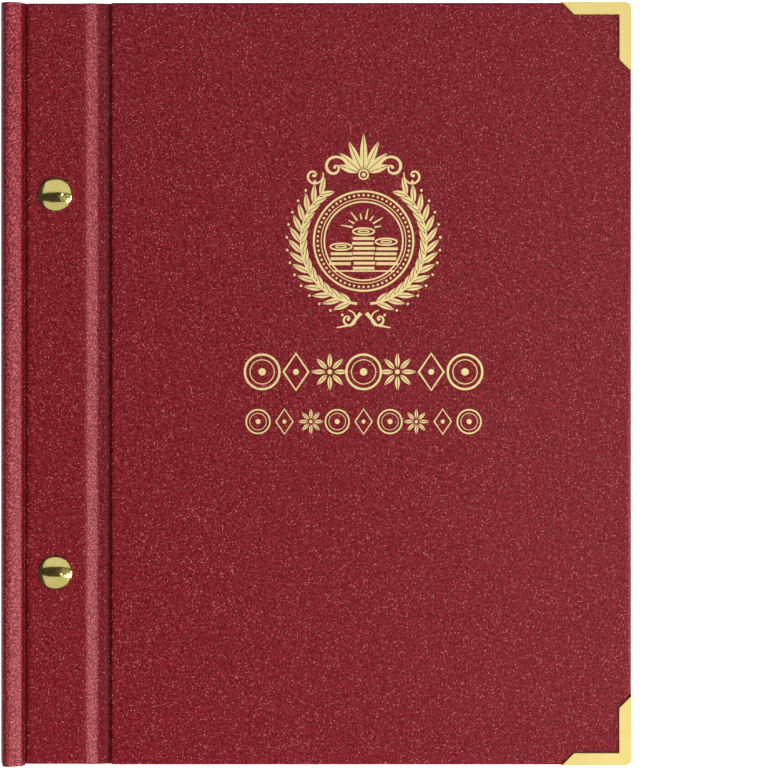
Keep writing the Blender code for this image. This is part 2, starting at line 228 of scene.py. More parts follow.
def plate_metal():
    """Pale satin brass plating on the corner protectors."""
    made, tree, shader = principled("corner_metal", (0.82, 0.66, 0.225), 0.38, 0.7)
    places = object_coordinates(tree)
    brushed = node(tree, "ShaderNodeMapping", {"Vector": places, "Scale": (6.0, 6.0, 0.6)}).outputs[0]
    marks = noise(tree, brushed, 1.0, 3.0)
    tree.links.new(ramp(tree, marks, 0.3, 0.7, 0.31, 0.38), shader.inputs["Roughness"])
    tint = blend_colours(tree, noise(tree, places, 0.12), (0.765, 0.60, 0.20), (0.825, 0.665, 0.24))
    tree.links.new(tint, shader.inputs["Base Color"])
    bump(tree, shader, marks, 0.08, 0.00005)
    return made


def post_metal():
    """Polished yellow brass."""
    made, tree, shader = principled("post_metal", (0.97, 0.82, 0.27), 0.07, 1.0)
    places = object_coordinates(tree)
    smears = noise(tree, places, 0.9, 3.0)
    tree.links.new(ramp(tree, smears, 0.35, 0.75, 0.08, 0.16), shader.inputs["Roughness"])
    clouds = ramp(tree, noise(tree, places, 0.5), 0.3, 0.7)
    tint = blend_colours(tree, clouds, (0.95, 0.78, 0.21), (0.99, 0.87, 0.33))
    tree.links.new(tint, shader.inputs["Base Color"])
    bump(tree, shader, smears, 0.05, 0.0001)
    return made


def foil():
    """Pale gold stamping foil that takes a little of the grain under it."""
    made, tree, shader = principled("foil", (0.74, 0.61, 0.27), 0.4, 0.45)
    places = object_coordinates(tree)
    fine = noise(tree, places, 2.2, 2.0)
    tint = blend_colours(tree, ramp(tree, fine, 0.3, 0.7), (0.68, 0.55, 0.235), (0.80, 0.665, 0.305))
    tree.links.new(tint, shader.inputs["Base Color"])
    tree.links.new(ramp(tree, fine, 0.3, 0.7, 0.3, 0.46), shader.inputs["Roughness"])
    bump(tree, shader, fine, 0.15, 0.0001)
    return made


def card(name, dark, pale, grain_scale=1.4, roughness=0.85):
    """Card or paper: two near tones in soft fibres and fine specks."""
    made, tree, shader = principled(name, pale, roughness)
    places = object_coordinates(tree)
    stretched = node(tree, "ShaderNodeMapping", {"Vector": places, "Scale": (1.0, 0.35, 1.0)}).outputs[0]
    fibres = noise(tree, stretched, grain_scale, 5.0, 0.7)
    clouds = noise(tree, places, 0.05, 2.0)
    mixed = arithmetic(tree, "MULTIPLY_ADD", fibres, 0.7)
    tree.links.new(arithmetic(tree, "MULTIPLY", clouds, 0.3), mixed.node.inputs[2])
    colour = blend_colours(tree, ramp(tree, mixed, 0.35, 0.62), dark, pale)
    tree.links.new(colour, shader.inputs["Base Color"])
    tree.links.new(ramp(tree, fibres, 0.3, 0.7, roughness, roughness - 0.12), shader.inputs["Roughness"])
    bump(tree, shader, fibres, 0.25, 0.00008)
    return made


def woven(name, dark, pale):
    """Thin bookbinding linen. It is laid out in UV, so that the weave stays put when the cloth bends."""
    made, tree, shader = principled(name, pale, 0.8)
    flat = millimetres(tree, node(tree, "ShaderNodeUVMap", uv_map="cloth").outputs["UV"])
    heights = []
    inputs = {"Vector": flat, "Scale": 0.314 / THREAD_PITCH}
    inputs.update({"Distortion": 0.6, "Detail": 1.0, "Detail Scale": 2.0})
    for direction in ("X", "Y"):
        threads = node(tree, "ShaderNodeTexWave", inputs, wave_type="BANDS", bands_direction=direction)
        heights.append(threads.outputs["Fac"])
    weave = arithmetic(tree, "MAXIMUM", *heights)
    mottle = arithmetic(tree, "MULTIPLY", weave, ramp(tree, noise(tree, flat, 0.8, 3.0), 0.2, 0.8, 0.6, 1.0))
    tree.links.new(blend_colours(tree, mottle, dark, pale), shader.inputs["Base Color"])
    bump(tree, shader, weave, 0.4, 0.0001)
    return made


def clear_film():
    """Stiff clear plastic film with faint scuffs."""
    made, tree, shader = principled("clear_film", (0.62, 0.68, 0.72), 0.12, Alpha=0.12)
    scuffs = noise(tree, object_coordinates(tree), 0.25, 5.0, 0.7)
    tree.links.new(ramp(tree, scuffs, 0.4, 0.75, 0.06, 0.3), shader.inputs["Roughness"])
    return made


LEATHERETTE = leatherette()
CORNER_METAL = plate_metal()
POST_METAL = post_metal()
FOIL = foil()
GREYBOARD = card("greyboard", (0.22, 0.19, 0.155), (0.34, 0.30, 0.25))
LINING = card("lining_paper", (0.42, 0.35, 0.26), (0.52, 0.45, 0.35), 0.5)
COIN_CARD = card("coin_card", (0.50, 0.44, 0.33), (0.62, 0.56, 0.45), 0.9)
SPACER_CARD = card("spacer_card", (0.34, 0.29, 0.22), (0.46, 0.40, 0.32))
TAB_LINEN = woven("tab_linen", (0.22, 0.18, 0.13), (0.48, 0.43, 0.34))
LINER_LINEN = woven("liner_linen", (0.10, 0.014, 0.018), (0.20, 0.035, 0.04))
PRINT = card("print_ink", (0.11, 0.008, 0.012), (0.17, 0.018, 0.022), 2.0, 0.6)
CLEAR_FILM = clear_film()

# Meshes


def link(name, mesh, material):
    made = bpy.data.objects.new(name, mesh)
    bpy.context.scene.collection.objects.link(made)
    made.data.materials.append(material)
    return made


def from_bmesh(name, work, material):
    """An object from a bmesh, with its faces turned out."""
    bmesh.ops.remove_doubles(work, verts=work.verts, dist=1e-7)
    bmesh.ops.recalc_face_normals(work, faces=work.faces)
    mesh = bpy.data.meshes.new(name)
    work.to_mesh(mesh)
    work.free()
    return link(name, mesh, material)


def baked(obj, angle=35):
    """Applies the object's modifiers, and shades it smooth up to that angle."""
    bpy.context.view_layer.update()
    graph = bpy.context.evaluated_depsgraph_get()
    mesh = bpy.data.meshes.new_from_object(obj.evaluated_get(graph))
    obj.modifiers.clear()
    obj.data = mesh
    mesh.shade_smooth()
    mesh.set_sharp_from_angle(angle=math.radians(angle))
    return obj


def cut_away(obj, *cutters):
    """Takes the cutters' shapes out of the object, and removes the cutters."""
    for cutter in cutters:
        modifier = obj.modifiers.new("cut", "BOOLEAN")
        modifier.operation = "DIFFERENCE"
        modifier.object = cutter
    baked(obj)
    for cutter in cutters:
        bpy.data.objects.remove(cutter)
    return obj


def block(low, high):
    """A box between two corners, given in any order, to cut with."""
    work = bmesh.new()
    bmesh.ops.create_cube(work, size=1.0)
    low, high = Vector(map(min, low, high)), Vector(map(max, low, high))
    bmesh.ops.scale(work, vec=high - low, verts=work.verts)
    bmesh.ops.translate(work, vec=(low + high) / 2, verts=work.verts)
    return from_bmesh("cutter", work, LEATHERETTE)


def drill(x, y, radius, low, high):
    """A cylinder along Z to cut with."""
    work = bmesh.new()
    depth = abs(high - low)
    bmesh.ops.create_cone(work, cap_ends=True, segments=48, radius1=radius, radius2=radius, depth=depth)
    bmesh.ops.translate(work, vec=(x, y, (low + high) / 2), verts=work.verts)
    return from_bmesh("cutter", work, LEATHERETTE)


def post_drills(low, high):
    return [drill(post_x, y, POST_HOLE_R, low, high) for y in (post_y, -post_y)]


def loft(name, sections, material):
    """A closed skin over sections that have the same number of points, with flat ends."""
    work = bmesh.new()
    rings = [[work.verts.new(point) for point in section] for section in sections]
    for near, far in zip(rings, rings[1:]):
        for i in range(len(near)):
            j = (i + 1) % len(near)
            work.faces.new((near[i], near[j], far[j], far[i]))
    work.faces.new(rings[0])
    work.faces.new(rings[-1])
    return from_bmesh(name, work, material)


def circle(x, y, radius, steps=72):
    return [
        (x + radius * math.cos(2 * math.pi * i / steps), y + radius * math.sin(2 * math.pi * i / steps))
        for i in range(steps)
    ]


def rounded(points):
    """An open line with its corners cut, twice as finely each round."""
    for _ in range(CORNER_ROUNDS):
        line = [points[0]]
        for (u, d), (next_u, next_d) in zip(points, points[1:]):
            line.append((0.75 * u + 0.25 * next_u, 0.75 * d + 0.25 * next_d))
            line.append((0.25 * u + 0.75 * next_u, 0.25 * d + 0.75 * next_d))
        points = line + [points[-1]]
    return points


def between(keys, u):
    """The value at u of a line through the keys."""
    for (low_u, low), (high_u, high) in zip(keys, keys[1:]):
        if u <= high_u:
            return low + (high - low) * max(0.0, u - low_u) / (high_u - low_u)
    return keys[-1][1]


def in_mm(*pairs):
    return [(u * MM, d * MM) for u, d in pairs]


def lay_out_cloth(obj, side="front"):
    """UV in metres that run on over the folds: X and Y, each shifted by the depth."""
    layer = obj.data.uv_layers.get("cloth") or obj.data.uv_layers.new(name="cloth")
    face_z = front_z if side == "front" else back_z
    for loop in obj.data.loops:
        place = obj.data.vertices[loop.vertex_index].co
        depth = abs(face_z - place.z)
        layer.data[loop.index].uv = (place.x + depth, place.y + depth)


# The leatherette case, in three pieces that meet in the grooves beside the spine

CASE_TOP = in_mm(
    (8.65, 2.9), (8.95, 2.85), (9.05, 2.3), (9.25, 1.65), (9.8, 1.32), (10.7, 1.2), (11.6, 1.2), (28.0, 1.2),
    (28.9, 1.2), (30.1, 1.25), (31.1, 1.5), (33.9, 2.5), (34.4, 2.6), (35.1, 2.63), (36.8, 2.66),
    (37.3, 2.75), (37.6, 2.98), (38.8, 3.0), (39.1, 2.6), (39.2, 1.6), (39.3, 0.6), (39.65, 0.12),
    (40.3, 0.0), (41.2, 0.0), (42.2, 0.0),
)
CASE_BOTTOM = in_mm(
    (8.65, 3.35), (9.6, 3.4), (29.8, 3.4), (31.0, 3.36), (38.9, 3.36), (39.7, 3.6), (230, 3.6),
)
SPINE_LINE = in_mm(
    (8.65, 2.9), (8.2, 2.9), (7.95, 2.3), (7.7, 1.2), (7.2, 0.6), (5.4, -0.1), (4.1, -0.58), (3.2, -0.7),
    (2.2, -0.5), (1.1, 0.15), (0.25, 1.2), (0.0, 2.3), (0.0, 3.2),
)
LINER_LINE = in_mm(
    (10.7, 3.44), (29.95, 3.44), (33.0, 3.44), (36.0, 3.44), (38.4, 3.44), (39.4, 3.5), (40.2, 3.64),
    (47.0, 3.64),
)
LINER_THICKNESS = 0.18 * MM
LINER_INSET = 0.8 * MM  # from the binding's head and tail
SPINE_WALL = 3.9 * MM  # from the spine's face to the inside of its cloth
SPINE_FLANGE = 3.35 * MM  # depth of the inside of its cloth at the strips
TURN_IN = 5.0 * MM
WINDOW_DEPTH = 2.8 * MM  # from where the cloth is open inside its turned-in edges
STRIP_POCKET_DEPTH = 1.78 * MM
PAST_CLOTH = 6.0 * MM  # a depth beyond the cloth's inner side
POCKET_GAP = 0.12 * MM  # between the cloth and a board in it
SWELL = 0.6 * MM  # how far the leatherette swells past the CAD's cloth, up to the metal corners' outer faces
CORNER_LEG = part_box("front_corner_upper")[1].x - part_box("front_corner_upper")[0].x


def section(side, u, top, bottom, half, radius):
    """A slice of the case at u: a flat loop in Y and depth with its four corners rounded."""
    r = min(radius, 0.45 * (bottom - top))
    inner = half - r - SUPPORT
    free = binding_half - CORNER_LEG
    quarter = [math.pi / 2 * i / EDGE_STEPS for i in range(EDGE_STEPS + 1)]
    loop = [(free - 0.2 * MM, top), (free + 0.2 * MM, top), (inner, top)]
    loop += [(half - r + r * math.sin(a), top + r - r * math.cos(a)) for a in quarter]
    loop += [(half - r + r * math.cos(a), bottom - r + r * math.sin(a)) for a in quarter]
    loop += [(inner, bottom), (free + 0.2 * MM, bottom), (free - 0.2 * MM, bottom)]
    loop += [(-y, depth) for y, depth in reversed(loop)]
    return [Vector((at(u), y, level(side, depth))) for y, depth in loop]


def swell_fore_edge(cloth):
    """Lets the fore-edge swell out between the metal corners."""
    for vertex in cloth.data.vertices:
        if vertex.co.x > at(fore_edge - EDGE_R - 0.1 * MM) and abs(vertex.co.y) < binding_half - CORNER_LEG:
            vertex.co.x += SWELL


def case_cloth(side):
    """The cloth of a strip, its hinge and a cover in one piece, turned in round the boards."""
    strip_half = binding_half - 0.15 * MM
    full_half = cover_half + SWELL
    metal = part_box(side + "_corner_upper")[0].x - spine_x + 0.6 * MM
    halves = [(GROOVE, strip_half), (29.0 * MM, strip_half), (32 * MM, binding_half), (38 * MM, full_half)]
    halves += [(metal - 0.2 * MM, full_half), (metal + 0.2 * MM, cover_half), (fore_edge, cover_half)]
    line = rounded(CASE_TOP)
    line += [(u, 0.0) for u in (metal - 0.2 * MM, metal + 0.2 * MM, fore_edge - EDGE_R - SUPPORT)]
    slices = [section(side, u, d, between(CASE_BOTTOM, u), between(halves, u), EDGE_R) for u, d in line]
    for step in range(EDGE_STEPS + 1):
        turn = math.pi / 2 * step / EDGE_STEPS
        inset = EDGE_R * (1 - math.cos(turn))
        u = fore_edge - EDGE_R + EDGE_R * math.sin(turn)
        bottom = CASE_BOTTOM[-1][1] - inset
        slices.append(section(side, u, inset, bottom, cover_half - inset, max(EDGE_R - inset, 0.2 * MM)))
    cloth = loft(side + "_case_cloth", slices, LEATHERETTE)
    swell_fore_edge(cloth)

    gap = POCKET_GAP
    low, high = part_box(side + "_board")
    pocket = block(low - Vector((gap,) * 3), high + Vector((gap,) * 3))
    inside = cover_half - TURN_IN
    window = block(
        (low.x + TURN_IN, -inside, level(side, WINDOW_DEPTH)),
        (at(fore_edge) - TURN_IN, inside, level(side, PAST_CLOTH)),
    )
    low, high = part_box(side + "_strip_board")
    strip_pocket = block(
        (low.x - gap, low.y - gap, level(side, STRIP_POCKET_DEPTH)),
        (high.x + gap, high.y + gap, level(side, PAST_CLOTH)),
    )
    cut_away(cloth, pocket, window, strip_pocket, *post_drills(level(side, -5 * MM), level(side, 9 * MM)))
    lay_out_cloth(cloth, side)
    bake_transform(cloth)
    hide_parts(side + "_cloth", side + "_hinge_cloth")


def spine_cloth():
    """The cloth round the spine board, with a bead along each edge, turned in at head and tail."""
    outer = rounded(SPINE_LINE)
    outer += [(u, album_depth - d) for u, d in reversed(outer)]
    back = album_depth - SPINE_FLANGE
    inner = [(GROOVE, back), (SPINE_WALL, back), (SPINE_WALL, SPINE_FLANGE), (GROOVE, SPINE_FLANGE)]
    slices = []
    for y, drawn_in in ((-binding_half - 0.5 * MM, 0.7), (0.9 * MM - binding_half, 0.0), (binding_half, 0.0)):
        points = [(max(u, drawn_in * MM), d) for u, d in outer + inner]
        slices.append([Vector((at(u), y, level("front", d))) for u, d in points])
    cloth = loft("spine_case_cloth", slices, LEATHERETTE)
    soften = cloth.modifiers.new("soft_ends", "BEVEL")
    soften.width = 0.5 * MM
    soften.segments = 3
    soften.limit_method = "ANGLE"
    soften.angle_limit = math.radians(60)
    baked(cloth)
    low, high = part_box("spine_board")
    gap = POCKET_GAP
    cut_away(cloth, block(low - Vector((gap,) * 3), high + Vector((1.5 * MM, gap, gap))))
    lay_out_cloth(cloth)
    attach(cloth, "binding")
    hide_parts("binding_cloth")


def strip_of(name, stations, side, half, material):
    """A thin sheet along Y. Its stations are (u, top depth, bottom depth)."""
    slices = []
    for u, top, bottom in stations:
        loop = ((half, top), (half, bottom), (-half, bottom), (-half, top))
        slices.append([Vector((at(u), y, level(side, depth))) for y, depth in loop])
    return loft(name, slices, material)


def hinge_liner(side):
    """The linen pasted over the inside of a strip and its hinge, and on to the cover's turn-in."""
    stations = [(u, depth, depth + LINER_THICKNESS) for u, depth in rounded(LINER_LINE)]
    liner = strip_of(side + "_inner_hinge", stations, side, binding_half - LINER_INSET, LINER_LINEN)
    cut_away(liner, *post_drills(level(side, 3 * MM), level(side, 4 * MM)))
    lay_out_cloth(liner, side)
    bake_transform(liner)
    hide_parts(side + "_hinge_liner")


for side in SIDES:
    case_cloth(side)
    hinge_liner(side)
spine_cloth()

# Screw posts

HEAD_RISE = 1.55 * MM  # of a barrel's dome over its rim
SHANK_R = 2.5 * MM
BORE_R = 1.8 * MM
SCREW_R = 1.6 * MM
SCREW_HEAD = 1.3 * MM
SCREW_EDGE = 0.35 * MM
SLOT_WIDTH = 1.3 * MM
SLOT_DEPTH = 0.7 * MM
TURN_STEPS = 96


def turned(name, profile, x, y, material):
    """A solid of revolution about Z through (x, y).

    Its profile is a list of (radius, height) that starts and ends on the axis.
    """
    work = bmesh.new()
    rings = []
    for radius, height in profile:
        if radius == 0:
            rings.append([work.verts.new((x, y, height))])
        else:
            rings.append([work.verts.new((px, py, height)) for px, py in circle(x, y, radius, TURN_STEPS)])
    for near, far in zip(rings, rings[1:]):
        for i in range(TURN_STEPS):
            j = (i + 1) % TURN_STEPS
            corners = [near[i % len(near)], near[j % len(near)], far[j % len(far)], far[i % len(far)]]
            work.faces.new(list(dict.fromkeys(corners)))
    return from_bmesh(name, work, material)


def post_barrel(end, y):
    """The barrel with its domed head, which rests on the front strip."""
    low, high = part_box("post_barrel_" + end)
    head_r = (high.x - low.x) / 2
    rim_z = high.z - HEAD_RISE
    seat_z = level("front", STRIP_DEPTH) + 0.03 * MM
    rise = high.z - rim_z
    bow = (head_r**2 + rise**2) / (2 * rise)
    spread = math.asin(head_r / bow)
    slopes = [spread * i / 24 for i in range(24)]
    dome = [(bow * math.sin(a), high.z - bow + bow * math.cos(a)) for a in slopes]
    shank = [(SHANK_R, seat_z), (SHANK_R, low.z), (BORE_R, low.z), (BORE_R, seat_z - 2 * MM)]
    rim = [(head_r, rim_z - 0.05 * MM), (head_r, seat_z + 0.1 * MM), (head_r - 0.1 * MM, seat_z)]
    profile = [*dome, *rim, *shank, (0.0, seat_z - 2 * MM)]
    profile[0] = (0, high.z)
    profile[-1] = (0, seat_z - 2 * MM)
    barrel = turned("barrel_" + end, profile, post_x, y, POST_METAL)
    baked(barrel, 30)
    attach(barrel, "binding")
    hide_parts("post_barrel_" + end)


def post_screw(end, y):
    """The slotted screw, which comes up into the barrel from the back."""
    low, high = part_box("post_screw_" + end)
    head_r = (high.x - low.x) / 2
    head_top = low.z + SCREW_HEAD
    flat_r, edge_z = head_r - SCREW_EDGE, low.z + SCREW_EDGE
    slopes = [math.pi / 2 * i / 5 for i in range(5, -1, -1)]
    edge = [(flat_r + SCREW_EDGE * math.sin(a), edge_z - SCREW_EDGE * math.cos(a)) for a in slopes]
    shank = [(0, high.z), (SCREW_R - 0.3 * MM, high.z), (SCREW_R, high.z - 0.3 * MM), (SCREW_R, head_top)]
    profile = [*shank, (head_r - 0.1 * MM, head_top), (head_r, head_top - 0.1 * MM), *edge, (0, low.z)]
    screw = turned("screw_" + end, profile, post_x, y, POST_METAL)
    slot_half = SLOT_WIDTH / 2
    reach = head_r + 1 * MM
    slot = block(
        (post_x - slot_half, y - reach, low.z - MM),
        (post_x + slot_half, y + reach, low.z + SLOT_DEPTH),
    )
    cut_away(screw, slot)
    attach(screw, end + "_screw")
    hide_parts("post_screw_" + end)


for end, y in (("upper", post_y), ("lower", -post_y)):
    post_barrel(end, y)
    post_screw(end, y)

# Flat drawings, for the leaves' printing and the cover's foil. They are drawn in millimetres.


def stroke(work, path, width, closed=False):
    """A flat line along the path. Its width is a number, or a function of how far along it is."""
    pairs = []
    count = len(path)
    for i, (x, y) in enumerate(path):
        before = path[i - 1] if i or closed else path[i]
        after = path[(i + 1) % count] if i < count - 1 or closed else path[i]
        along = Vector((after[0] - before[0], after[1] - before[1])).normalized()
        half = (width(i / (count - 1)) if callable(width) else width) / 2
        across = Vector((-along.y, along.x)) * max(half, 0.02)
        pairs.append([work.verts.new((x + s * across.x, y + s * across.y, 0)) for s in (1, -1)])
    links = list(zip(pairs, pairs[1:])) + ([(pairs[-1], pairs[0])] if closed else [])
    for (left, right), (next_left, next_right) in links:
        work.faces.new((left, right, next_right, next_left))


def ring(work, x, y, radius, width, steps=64):
    stroke(work, circle(x, y, radius, steps), width, closed=True)


def dot(work, x, y, radius, steps=20):
    work.faces.new([work.verts.new((px, py, 0)) for px, py in circle(x, y, radius, steps)])


def pressed(name, work, place, thickness, material):
    """The drawing made a thin layer with its top at the place.

    Each stroke lies a hair above the one before, so that no two share a plane where they cross.
    """
    work.verts.index_update()
    reached = set()
    layer = 0
    for first in work.verts:
        if first in reached:
            continue
        layer += 1
        island = [first]
        reached.add(first)
        for vertex in island:
            near = {other for edge in vertex.link_edges for other in edge.verts} - reached
            reached |= near
            island += near
        for vertex in island:
            vertex.co.z = layer % 37 * 0.001
    for vertex in work.verts:
        vertex.co = vertex.co * MM + Vector(place)
    bmesh.ops.recalc_face_normals(work, faces=work.faces)
    for face in work.faces:
        if face.normal.z < 0:
            face.normal_flip()
    mesh = bpy.data.meshes.new(name)
    work.to_mesh(mesh)
    work.free()
    made = link(name, mesh, material)
    shell = made.modifiers.new("layer", "SOLIDIFY")
    shell.thickness = thickness
    shell.offset = -1
    return baked(made, 20)


# Leaves

WELL_R = 13.0 * MM
WELL_COLUMNS = 4
WELL_ROWS = 5
WELL_PITCH_X = 39.0 * MM
WELL_PITCH_Y = 49.0 * MM
BOARD_EASE = 0.2 * MM
BOARD_CORNER_R = 3.0 * MM
TAB_FLAT_END = 28.0 * MM  # u up to which a tab lies flat between the spacers
TAB_SCORES = (32.0 * MM, 35.0 * MM, 38.0 * MM)
TAB_SWELL_START = 45.5 * MM
TAB_THICK = 1.05 * MM  # half the tab's thickness where it takes the board
TAPE_U = 50.85 * MM
TAPE_WIDTH = 1.75 * MM
RING_RADII = (14.1, 15.2)  # of the printing round a well, in millimetres
BORDER_INSET = 3.4


def well_centres(low, high):
    middle = (low + high) / 2
    for row in range(WELL_ROWS):
        for column in range(WELL_COLUMNS):
            yield (
                middle.x + (column - (WELL_COLUMNS - 1) / 2) * WELL_PITCH_X,
                middle.y - (row - (WELL_ROWS - 1) / 2) * WELL_PITCH_Y,
            )


def coin_board(number):
    """A coin board with its wells' edges eased."""
    low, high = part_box(f"coin_board_{number}")
    ease = BOARD_EASE
    curve = bpy.data.curves.new(f"well_board_{number}", "CURVE")
    curve.dimensions = "2D"
    curve.fill_mode = "BOTH"
    curve.extrude = (high.z - low.z) / 2 - ease
    curve.bevel_depth = ease
    curve.bevel_resolution = 2
    curve.offset = -ease
    corner = BOARD_CORNER_R
    arcs = []
    for y, start in ((low.y + corner, -90), (high.y - corner, 0)):
        for i in range(9):
            a = math.radians(start + 90 * i / 8)
            arcs.append((high.x - corner + corner * math.cos(a), y + corner * math.sin(a)))
    outlines = [[(low.x, low.y), *arcs, (low.x, high.y)]]
    outlines += [circle(x, y, WELL_R) for x, y in well_centres(low, high)]
    for outline in outlines:
        spline = curve.splines.new("POLY")
        spline.points.add(len(outline) - 1)
        for point, (x, y) in zip(spline.points, outline):
            point.co = (x, y, 0, 1)
        spline.use_cyclic_u = True
    board = bpy.data.objects.new(f"well_board_{number}", curve)
    board.location.z = (low.z + high.z) / 2
    bpy.context.scene.collection.objects.link(board)
    curve.materials.append(COIN_CARD)
    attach(board, f"leaf_{number}")
    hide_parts(f"coin_board_{number}")


def leaf_tab(number):
    """A leaf's linen tab: flat between the spacers, scored where it bends, thicker at the board."""
    low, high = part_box(f"leaf_tab_{number}")
    middle = (low.z + high.z) / 2
    thin = (high.z - low.z) / 2
    half = high.y
    end_u = high.x - spine_x
    flat = [low.x - spine_x, TAB_FLAT_END]
    bend = [29.0 * MM + i * 0.75 * MM for i in range(23)]
    stations = []
    for u in flat + bend + [46.0 * MM, 47.0 * MM, 48.0 * MM, 49.0 * MM, end_u]:
        scored = any(abs(u - score) < 0.1 * MM for score in TAB_SCORES)
        swell = min(max((u - TAB_SWELL_START) / (end_u - TAB_SWELL_START), 0.0), 1.0)
        reach = thin + (TAB_THICK - thin) * swell * swell * (3 - 2 * swell) - (0.1 * MM if scored else 0.0)
        loop = ((half, reach), (half, -reach), (-half, -reach), (-half, reach))
        stations.append([Vector((at(u), y, middle + z)) for y, z in loop])
    tab = loft(f"linen_tab_{number}", stations, TAB_LINEN)
    cut_away(tab, *post_drills(middle - 3 * MM, middle + 3 * MM))
    lay_out_cloth(tab)
    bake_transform(tab)
    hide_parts(f"leaf_tab_{number}")


def leaf_tape(number):
    """The linen that joins a coin board to its tab, on both faces of the board."""
    low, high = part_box(f"coin_board_{number}")
    middle = (low.z + high.z) / 2
    work = bmesh.new()
    for sign in (1, -1):
        near, far = middle + sign * 0.92 * MM, middle + sign * TAB_THICK
        bottom, top = min(near, far), max(near, far)
        size = Vector((TAPE_WIDTH, high.y - low.y - 0.4 * MM, top - bottom))
        cube = bmesh.ops.create_cube(work, size=1.0)["verts"]
        bmesh.ops.scale(work, vec=size, verts=cube)
        bmesh.ops.translate(work, vec=(at(TAPE_U), 0, (bottom + top) / 2), verts=cube)
    tape = from_bmesh(f"leaf_tape_{number}", work, TAB_LINEN)
    lay_out_cloth(tape)
    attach(tape, f"leaf_{number}")


def leaf_print(number):
    """A printed ring round each well and a blank caption box under it, on both faces of the board."""
    low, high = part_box(f"coin_board_{number}")
    for face, z in (("front", high.z + 0.05 * MM), ("back", low.z - 0.03 * MM)):
        work = bmesh.new()
        for x, y in well_centres(low, high):
            x, y = x / MM, y / MM
            ring(work, x, y, RING_RADII[0], 0.9, 48)
            ring(work, x, y, RING_RADII[1], 0.3, 48)
            box_low, box_high = y - 21.0, y - 16.6
            box = [(x - 11, box_low), (x + 11, box_low), (x + 11, box_high), (x - 11, box_high)]
            stroke(work, box, 0.45, closed=True)
            stroke(work, [(x - 8, y - 18.8), (x + 8, y - 18.8)], 0.25)
        left, right = low.x / MM + BORDER_INSET, high.x / MM - BORDER_INSET
        tail, head = low.y / MM + BORDER_INSET, high.y / MM - BORDER_INSET
        stroke(work, [(left, tail), (right, tail), (right, head), (left, head)], 0.8, closed=True)
        printed = pressed(f"leaf_{face}_print_{number}", work, (0, 0, z), 0.02 * MM, PRINT)
        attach(printed, f"leaf_{number}")


for number in LEAVES:
    coin_board(number)
    leaf_tab(number)
    leaf_tape(number)
    leaf_print(number)

# Gold stamping on the front cover, drawn in millimetres about a centre of its own

ORNAMENT_U = 128.7 * MM
EMBLEM_Y = 54.0 * MM
UPPER_ROW_Y = 4.2 * MM
LOWER_ROW_Y = -13.4 * MM
FOIL_RAISE = 0.05 * MM
HUB_Y = -3.5  # the medallion's middle, in the emblem's drawing
WREATH_R = 22.3
BERRY_R = 27.2


def blade(work, x, y, angle, length, breadth):
    """A leaf in two halves with a bare midrib between them."""
    turn = math.radians(angle)
    ahead = Vector((math.cos(turn), math.sin(turn)))
    aside = Vector((-ahead.y, ahead.x))
    steps = 12
    for side in (1, -1):
        path = []
        for i in range(steps + 1):
            t = i / steps
            swell = breadth / 2 * math.sin(math.pi * t**0.85)
            place = Vector((x, y)) + ahead * length * t + aside * side * (0.12 + swell / 2)
            path.append(tuple(place))
        stroke(work, path, lambda t: breadth / 2 * math.sin(math.pi * t**0.85))


def curl(work, x, y, start, turns, radius, width, hand=1):
    """A scroll that winds in from its start to a small round eye."""
    steps = int(28 * turns)
    path = []
    for i in range(steps + 1):
        t = i / steps
        a = math.radians(start) + hand * 2 * math.pi * turns * t
        r = radius * (1 - t) ** 0.9 + 0.25
        path.append((x + r * math.cos(a), y + r * math.sin(a)))
    stroke(work, path, lambda t: width * (0.45 + 0.55 * math.sin(math.pi * min(t * 1.2, 1.0))))
    dot(work, x, y, 0.55)


def coin_stack(work, x, foot, count):
    """A pile of coins seen from a little above."""
    width, height, gap = 7.6, 1.0, 0.75
    for i in range(count):
        y = foot + i * (height + gap)
        sway = 0.35 * math.sin(2.1 * i + x)
        stroke(work, [(x + sway - width / 2, y), (x + sway + width / 2, y)], height)
    top = foot + count * (height + gap) + 0.75
    rim = [(x + width / 2 * px, top + 1.15 * py) for px, py in circle(0, 0, 1.0, 40)]
    stroke(work, rim, 0.55, closed=True)
    inner = [(x + 0.5 * width / 2 * px, top + 0.45 * py) for px, py in circle(0, 0, 1.0, 24)]
    stroke(work, inner, 0.4, closed=True)


def stamped(name, work, y):
    """The drawing as foil on the front cover."""
    foil_piece = pressed(name, work, (at(ORNAMENT_U), y, front_z + FOIL_RAISE), FOIL_RAISE + 0.03 * MM, FOIL)
    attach(foil_piece, "front_cover")


def medallion(work):
    """Three piles of coins under rays, in beaded rings."""
    for radius, width in ((17.6, 0.7), (15.0, 0.3), (13.9, 0.55)):
        ring(work, 0, HUB_Y, radius, width, 96)
    for x, y in circle(0, HUB_Y, 16.25, 60):
        dot(work, x, y, 0.42, 10)
    coin_stack(work, -8.0, HUB_Y - 8.0, 3)
    coin_stack(work, 0.0, HUB_Y - 9.6, 7)
    coin_stack(work, 8.0, HUB_Y - 8.0, 4)
    stroke(work, [(-11.0, HUB_Y - 10.6), (11.0, HUB_Y - 10.6)], 0.5)
    for i in range(8):
        a = math.pi * (i + 0.5) / 8
        reach = (6.4, 8.2)[i % 2]
        ray = [(r * math.cos(a), HUB_Y + 4.2 + r * math.sin(a) * 0.9) for r in (4.0, reach)]
        stroke(work, ray, lambda t: 0.7 * (1 - 0.6 * t))


def on_wreath(side, angle, radius):
    """A place on the wreath's right or left half, side 1 or -1, at an angle in degrees from level."""
    return side * radius * math.cos(math.radians(angle)), HUB_Y + radius * math.sin(math.radians(angle))


